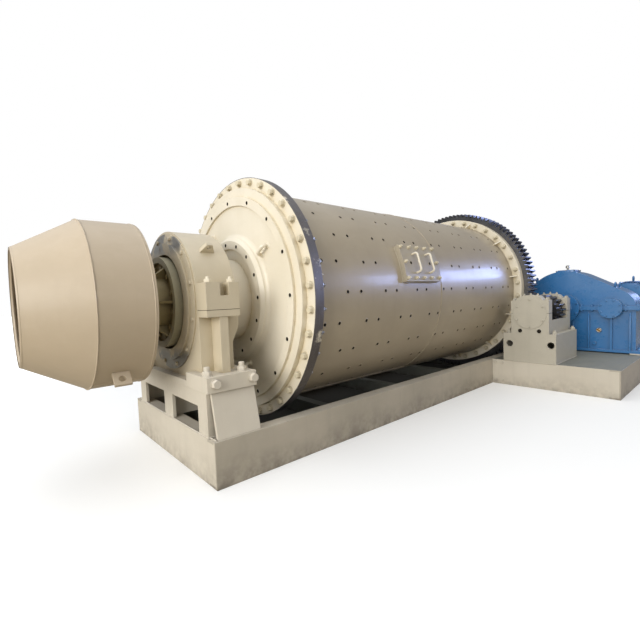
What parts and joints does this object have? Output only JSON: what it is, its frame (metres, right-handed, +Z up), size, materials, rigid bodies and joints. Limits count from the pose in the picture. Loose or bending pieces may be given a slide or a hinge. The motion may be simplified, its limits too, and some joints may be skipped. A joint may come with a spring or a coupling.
{
  "type": "ball mill",
  "caption": "Horizontal grinding drum on two trunnion bearings with a drum feeder, bolted heads, girth gear, pinion, reducer and motor on a beam base.",
  "frame": {"origin": "on the underside of the base frame, under the mill axis and midway along the shell", "axes": "+X along the mill axis from the feed end to the drive end, -Y to the pinion and motor side, +Z up"},
  "size_m": [6.608, 2.7852, 1.918],
  "materials": {
    "cream_paint": "semi-gloss enamel, dusty",
    "tan_paint": "glossy enamel",
    "beige_paint": "semi-gloss enamel",
    "bare_steel": "bare, dusty",
    "gear_steel": "dark, greased",
    "blue_paint": "gloss enamel",
    "deck_paint": "dull grey-green primer",
    "bearing_metal": "machined",
    "shaft_steel": "turned"
  },
  "bodies": {
    "plant": {"base_side_beams": "cream_paint", "base_end_beams": "cream_paint", "base_cross_beams": "cream_paint", "drive_side_beam": "cream_paint", "drive_inner_beam": "cream_paint", "drive_front_beam": "cream_paint", "drive_rear_beam": "cream_paint", "drive_cross_beams": "cream_paint", "drive_deck": "deck_paint", "feed_stand": "cream_paint", "discharge_stand": "cream_paint", "stand_braces": "cream_paint", "sole_plates": "cream_paint", "feed_bearing_housing": "cream_paint", "discharge_bearing_housing": "cream_paint", "feed_bearing_cap": "cream_paint", "discharge_bearing_cap": "cream_paint", "cap_lifting_eyes": "cream_paint", "bearing_bushes": "bearing_metal", "seal_rings": "cream_paint", "pinion_stand": "cream_paint", "pinion_sole_plate": "cream_paint", "pinion_trough": "cream_paint", "pinion_bearing_blocks": "cream_paint", "pinion_bearing_caps": "cream_paint", "pinion_shaft_covers": "cream_paint", "reducer_lower_case": "blue_paint", "reducer_upper_case": "blue_paint", "reducer_bearing_covers": "blue_paint", "reducer_rails": "cream_paint", "motor_frame": "blue_paint", "motor_end_cover": "blue_paint", "motor_fan_cowl": "blue_paint", "motor_terminal_box": "blue_paint", "motor_pedestal": "cream_paint", "high_speed_coupling": "shaft_steel", "coupling_guard": "cream_paint"},
    "mill_drum": {"shell": "tan_paint", "shell_flanges": "bare_steel", "flange_gussets": "tan_paint", "feed_head": "cream_paint", "discharge_head": "cream_paint", "feed_trunnion": "cream_paint", "discharge_trunnion": "cream_paint", "head_lifting_lugs": "cream_paint", "feeder_neck": "beige_paint", "feeder_back_plate": "beige_paint", "feeder_cylinder": "beige_paint", "feeder_cone": "beige_paint", "feeder_lug": "beige_paint", "girth_gear": "gear_steel", "manhole_frame": "tan_paint", "manhole_cover": "tan_paint", "manhole_handles": "tan_paint"},
    "pinion_line": {"pinion": "gear_steel", "pinion_shaft": "shaft_steel", "low_speed_coupling": "shaft_steel", "reducer_output_shaft": "shaft_steel"}
  },
  "joints": [
    {"name": "mill_spin", "type": "hinge", "parent": "plant", "child": "mill_drum", "pos_m": [0, 0, 0.99], "axis": [1, 0, 0], "continuous": true},
    {"name": "pinion_spin", "type": "hinge", "parent": "plant", "child": "pinion_line", "pos_m": [1.563, -1.03421, 0.74], "axis": [1, 0, 0], "continuous": true}
  ],
  "couplings": [
    {"joint": "pinion_spin", "follows": "mill_spin", "ratio": -6}
  ]
}
